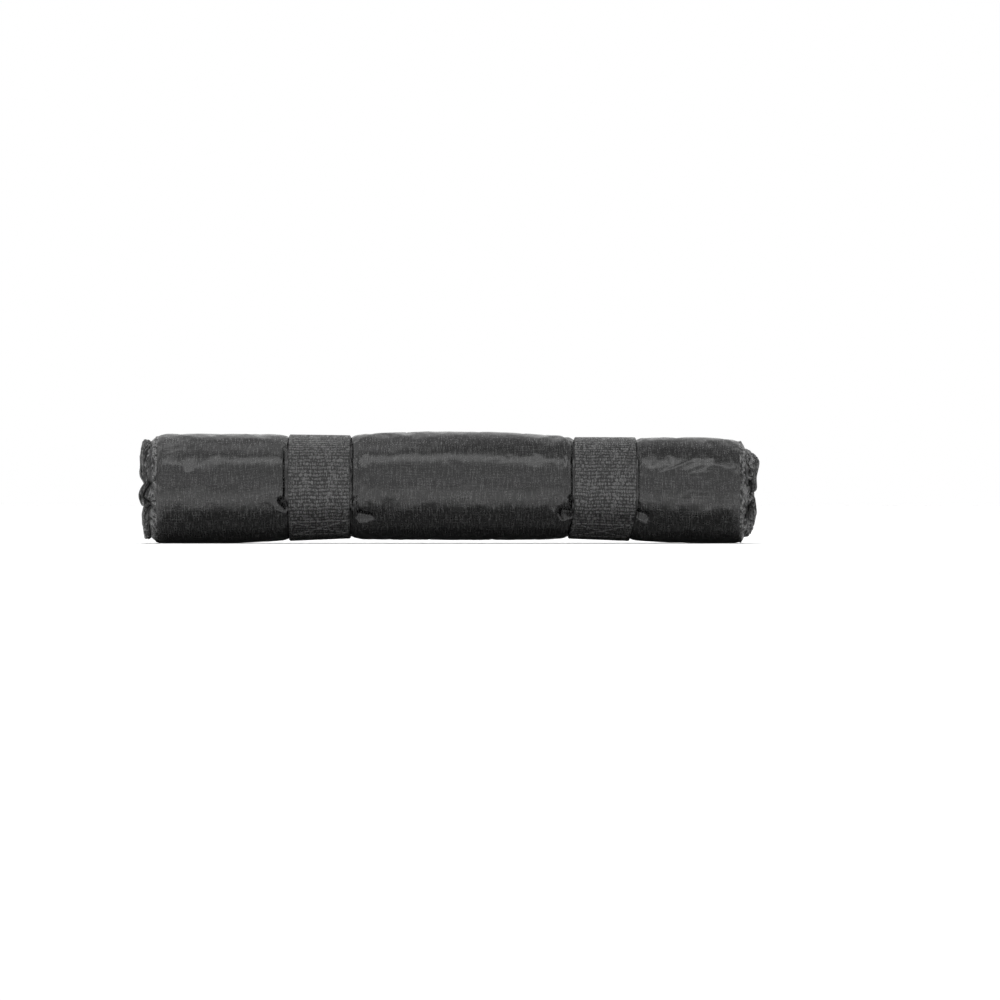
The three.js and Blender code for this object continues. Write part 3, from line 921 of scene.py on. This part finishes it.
def add_stitches(name, rows, material, stitch):
    """One piece of thread stitches. rows are (path, normals) pairs."""
    points, faces, count = [], [], 0
    for path, normals in rows:
        tube_points, tube_faces = stitch_tubes(path, normals, *stitch)
        points.append(tube_points)
        faces += [[corner + count for corner in face] for face in tube_faces]
        count += len(tube_points)
    points = np.concatenate(points)
    return add_piece(name, points, faces, material, points)


def with_normals(x, angle, out):
    """A path along the sleeve's outside, with its outward directions."""
    path = section_point(x, angle, out)
    normals = section_point(x, angle, out + 1) - path
    return path, normals / np.linalg.norm(normals, axis=-1, keepdims=True)


def on_strap(strap, start, end):
    """A straight row over a strap's outside, from one (share across, angle) to another."""
    share, angle = np.linspace(start, end, 60).T
    x = strap_middle(strap, angle) + (share - 0.5) * WEBBING_WIDTH
    out = cover_radius(x, angle) + strap_height(angle) + WEBBING_THICKNESS
    return with_normals(x, angle, out)


def strap_stitches(name, strap):
    """A stitched box with a cross holds the strap to the cover, and four rows hold the tapes."""
    low, high = STITCH_MARGIN, 1 - STITCH_MARGIN
    top, bottom = strap["box"]
    first, last = LOWER_TAIL_END + TAPE_ROW_INSET, UPPER_TAIL_END - TAPE_ROW_INSET
    rows = [
        # The box
        [(low, top), (high, top)],
        [(high, top), (high, bottom)],
        [(high, bottom), (low, bottom)],
        [(low, bottom), (low, top)],
        # Its cross
        [(low, top), (high, bottom)],
        [(high, top), (low, bottom)],
        # The tapes' sides and ends
        [(low, first), (low, last)],
        [(high, first), (high, last)],
        [(low, last), (high, last)],
        [(low, first), (high, first)],
    ]
    rows = [on_strap(strap, start, end) for start, end in rows]
    return add_stitches(name, rows, THREAD, STRAP_STITCH)


def dress_strap(side, strap):
    """A strap with its tapes and its thread."""
    webbing = webbing_strap(f"{side}_webbing", f"{side}_strap", strap)
    loops = fastener_tape(f"{side}_loops", f"{side}_loop_tape", strap, 0, LOOPS)
    hooks = fastener_tape(f"{side}_hooks", f"{side}_hook_tape", strap, 1, HOOKS)
    thread = strap_stitches(f"{side}_strap_stitches", strap)


def slit_stitches():
    """Topstitching on both sides of the slit, where the cover's edges are folded under. The
    straps hide the rest of it."""
    margin = math.degrees(SEAM_MARGIN / PAD_RADIUS)
    beside = WEBBING_WIDTH / 2 + SLIT_ROW_BREAK
    left, right = LEFT_STRAP["middle"], RIGHT_STRAP["middle"]
    stretches = (
        (LEFT_SEAM + SLIT_ROW_INSET, left - beside),
        (left + beside, right - beside),
        (right + beside, RIGHT_SEAM - SLIT_ROW_INSET),
    )
    rows = []
    for angle in (SLIT_ANGLE - margin, SLIT_ANGLE + margin):
        for start, stop in stretches:
            x = np.linspace(start, stop, 200)
            out = cover_radius(x, angle) + cover_relief(x, np.full_like(x, angle))
            rows.append(with_normals(x, angle, out))
    add_stitches("slit_stitches", rows, HEM_THREAD, SLIT_STITCH)


# The ruffled ends


def sum_of(bumps, angle):
    """What bumps, each (angle, spread, size), add up to at an angle."""
    return sum(size * bell(turn(at, angle) / spread) for at, spread, size in bumps)


def edge_drop(radius, angle):
    """How far the pad's rounded edges drop from the round outside beside the slit."""
    from_face = from_slit(angle, radius) - SLIT_GAP / 2
    from_round = np.clip(EDGE_RADIUS - from_face, 0, EDGE_RADIUS)
    return EDGE_RADIUS - np.sqrt(EDGE_RADIUS**2 - from_round**2)


# Gaps between the folds of each end: (share out, angle) at start and end, width, depth.
# A depth below 0 is a fold that stands up.
LEFT_GAPS = [
    ((0.38, 8), (0.78, -10), 1.05, 6.0),
    ((0.7, -11), (0.22, -17), 0.9, 4.5),
    ((0.15, -20.5), (1.05, -29), 1.3, 6.0),
    ((0.05, -24), (0.05, -50), 0.8, -0.9),
    ((0.2, 62), (0.9, 52), 1.0, 1.6),
    ((0.15, 30), (0.7, 22), 0.9, 1.1),
    ((0.1, 40), (0.05, 8), 0.8, 1.0),
    ((0.2, -38), (0.8, -44), 1.0, 1.4),
]
RIGHT_GAPS = [
    ((0.52, 14), (0.82, -8), 1.5, 6.5),
    ((1.0, -11), (0.1, -36), 2.4, 7.5),
    ((0.25, 38), (0.58, 20), 0.8, 2.0),
    ((0.05, 42), (0.1, 12), 0.9, -0.9),
    ((0.95, 30), (0.97, 2), 0.9, -0.6),
    ((0.4, 30), (0.45, 18), 1.2, -0.8),
    ((0.05, -42), (0.45, -54), 1.6, -1.6),
    ((0.25, 60), (0.8, 48), 1.0, 1.4),
]
# Where the hem reaches further still than the frame's does: (angle, spread, size)
LEFT_LOBES = [(-7, 9, 1.2)]
RIGHT_LOBES = [(8, 8, 0.8), (-28, 10, 1.0)]


def hem_surface(end, lobes, gaps, shares, angles):
    """The middle of the hem: it starts on the cover just inside the seam, where share is below 0,
    and goes out by a share of its reach."""
    share, angle = np.meshgrid(shares, angles)
    seam, side = end["seam"], end["side"]
    seam_radius = cover_radius(np.array(seam), np.array(SLIT_ANGLE))
    folded = sum_of(end["folds"], angle)
    deepest = max(size for _, _, size in end["folds"])
    drawn_back = 1 - FOLD_RETREAT * folded / deepest
    reach = (end["reach"] + sum_of(end["tongues"] + lobes, angle)) * drawn_back
    around = round_length(angle, seam_radius)
    # Small crumples, the wavy edge and the gaps between the folds
    ruffle = 0.5 * smooth_noise(around / 3.1, share * 1.3 + side, 51)
    ruffle = ruffle + 0.5 * smooth_noise(around / 1.4, share * 3.0 + side, 52)
    out = np.maximum(share, 0)
    wander = 0.35 * smooth_noise(around / 3.0, around * 0 + side * 2.5, 53) * out
    gap = creases(gaps, share * end["reach"], around, end["reach"], seam_radius)
    x = seam + side * (np.minimum(share, 0) * end["reach"] + out * reach + CLEARANCE + wander)
    on_cover = np.clip(x * side, None, seam * side) * side
    root = cover_radius(on_cover, angle) - edge_drop(seam_radius, angle)
    # How deep it lies: one ply on the cover, in a valley before the bead, dented at the stitches
    sunk = BINDING_THICKNESS / 2 * smoothstep(share, 0.02, 0.3)
    sunk = sunk + PLY_THICKNESS * (0.2 - 0.7 * smoothstep(share, -0.12, 0.0)) * (share < 0.02)
    valley = 1.5 + 1.1 * smooth_noise(around / 6, around * 0 + side * 4.5, 54)
    sunk = sunk + valley * bell((share - 0.4) / 0.11)
    pitch = HEM_STITCH[0] + HEM_STITCH[1]
    stitched = 0.12 * np.cos(around * 2 * math.pi / pitch) * bell((share - 0.05) / 0.1)
    radius = root - sunk - stitched - out * (end["lean"] + folded)
    return section_point(x, angle, radius - (gap + ruffle) * smoothstep(share, -0.02, 0.35), 0, 0.2)


def end_binding(name, node, end, lobes, gaps):
    """A ruffled hem with two rows of stitches round it."""
    first = -(OVERLAP + CLEARANCE) / end["reach"]
    shares = np.concatenate([np.linspace(first, 0, 4, endpoint=False), np.linspace(0, 1, 19)])
    seam_radius = float(cover_radius(np.array(end["seam"]), np.array(SLIT_ANGLE)))
    start = math.degrees(math.asin((SLIT_GAP / 2 + CLEARANCE) / seam_radius))
    angles = SLIT_ANGLE + np.linspace(start, 360 - start, 460)
    middle = hem_surface(end, lobes, gaps, shares, angles)
    normals = grid_normals(middle) * end["side"]
    edge = shares[None, :, None]
    # The binding is rolled over the raw edge, so the hem is thicker there and ends round
    thick = PLY_THICKNESS + (BEAD_THICKNESS - PLY_THICKNESS) * smoothstep(edge, 0.72, 0.79)
    outer_round = np.sqrt(np.clip(1 - np.clip((edge - 0.88) / 0.12, 0, 1) ** 2, 0.01, 1))
    half = thick / 2 * outer_round * smoothstep(edge, first - 0.02, first + 0.04)
    outer = middle + normals * half
    inner = middle - normals * half
    for grid in (outer, inner):
        grid[..., 2] = np.maximum(grid[..., 2], 0.1)
    if end["side"] < 0:
        outer, inner = outer[:, ::-1], inner[:, ::-1]
    piece = add_shell(name, outer, inner, BINDING)
    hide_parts(node)
    rows = []
    for share in HEM_ROWS:
        line = hem_surface(end, lobes, gaps, np.array([share - 0.02, share, share + 0.02]), angles)
        up = grid_normals(line)[:, 1] * end["side"]
        rows.append((line[:, 1] + up * (PLY_THICKNESS / 2), up))
    thread = add_stitches(f"{name}_stitches", rows, HEM_THREAD, HEM_STITCH)


outer_cover()
slit_stitches()
foam_core()
inner_lining()
dress_strap("left", LEFT_STRAP)
dress_strap("right", RIGHT_STRAP)
end_binding("left_hem", "left_end_binding", LEFT_END, LEFT_LOBES, LEFT_GAPS)
end_binding("right_hem", "right_end_binding", RIGHT_END, RIGHT_LOBES, RIGHT_GAPS)


# Floor, light and camera


def pale_floor():
    """Matt pale board."""
    material, tree = start_material("painted_board")
    finish_material(tree, {"Base Color": linear("#e4e4e4"), "Roughness": 0.9})
    mesh = bpy.data.meshes.new("floor")
    half = 30.0
    mesh.from_pydata(
        [(-half, -half, 0), (half, -half, 0), (half, half, 0), (-half, half, 0)], [], [(0, 1, 2, 3)]
    )
    mesh.materials.append(material)
    floor = bpy.data.objects.new("floor", mesh)
    bpy.context.scene.collection.objects.link(floor)


def hang(name, lamp, place, aim):
    """Puts a lamp at a place, turned to a point. The camera doesn't see the lamp itself."""
    holder = bpy.data.objects.new(name, lamp)
    holder.location = place
    holder.rotation_euler = (Vector(aim) - Vector(place)).to_track_quat("-Z", "Y").to_euler()
    holder.visible_camera = False
    bpy.context.scene.collection.objects.link(holder)
    return holder


def softbox(name, place, aim, size, glow):
    """A flat soft lamp. glow is how bright its face is, where 1 is plain white."""
    lamp = bpy.data.lights.new(name, "AREA")
    lamp.shape = "RECTANGLE"
    lamp.size, lamp.size_y = size
    lamp.energy = glow * math.pi * size[0] * size[1]
    hang(name, lamp, place, aim)


def studio():
    """A tall softbox in front with a brighter one above it, a small one close above the left
    half, a dim one on the floor before the sleeve, soft sun from behind, and a pale room."""
    softbox("front_softbox", (0, -0.9, 0.69), (0, 0, 0.69), (1.7, 1.0), 0.3)
    softbox("top_strip", (0, -0.9, 1.83), (0, 0, 1.83), (2.6, 1.28), 1.95)
    softbox("near_softbox", (-0.27, 0.0, 0.3), (-0.27, 0.0, 0), (0.5, 0.13), 0.68)
    softbox("floor_card", (0, -0.138, 0.004), (0, -0.138, 1), (2.0, 0.16), 0.25)
    sun = bpy.data.lights.new("back_light", "SUN")
    sun.energy = 4.9
    sun.angle = math.radians(36)
    hang("back_light", sun, (0, 1.0, 1.5), (0, 0, 0)).visible_glossy = False
    world = bpy.data.worlds.new("studio")
    world.use_nodes = True
    tree = world.node_tree
    tree.nodes.clear()
    ray = add_node(tree, "LightPath", {})
    rays = [ray["Is Camera Ray"], ray["Is Glossy Ray"], ray["Is Transmission Ray"]]
    seen = blend(tree, *rays, (1.0, 1.0, 1.0))
    seen = add_node(tree, "MapRange", {"Value": seen, "To Min": 0.12, "To Max": 1.0})[0]
    # The room is white at eye level and grows greyer towards its ceiling
    direction = add_node(tree, "TexCoord", {})["Generated"]
    height = add_node(tree, "SeparateXYZ", {0: direction})["Z"]
    room = {"Value": height, "From Min": 0.1, "From Max": 0.95, "To Min": 1.0, "To Max": 0.5}
    room = add_node(tree, "MapRange", room)[0]
    strength = add_node(tree, "Math", {0: room, 1: seen}, operation="MULTIPLY")[0]
    back = add_node(tree, "Background", {"Color": (1, 1, 1, 1), "Strength": strength})[0]
    add_node(tree, "OutputWorld", {"Surface": back})
    bpy.context.scene.world = world
    bpy.context.scene.view_settings.view_transform = "Standard"


def camera():
    """A long lens at the sleeve's own height, with the photograph's framing."""
    data = bpy.data.cameras.new("camera")
    data.lens = 250
    data.sensor_width = 36
    view_width, look_x, look_z = 0.650, 0.0325, 0.0280
    data.clip_start, data.clip_end = 0.1, 50
    eye = bpy.data.objects.new("camera", data)
    eye.location = (look_x, -view_width * data.lens / data.sensor_width, look_z)
    eye.rotation_euler = (math.pi / 2, 0, 0)
    bpy.context.scene.collection.objects.link(eye)
    bpy.context.scene.camera = eye


pale_floor()
studio()
camera()
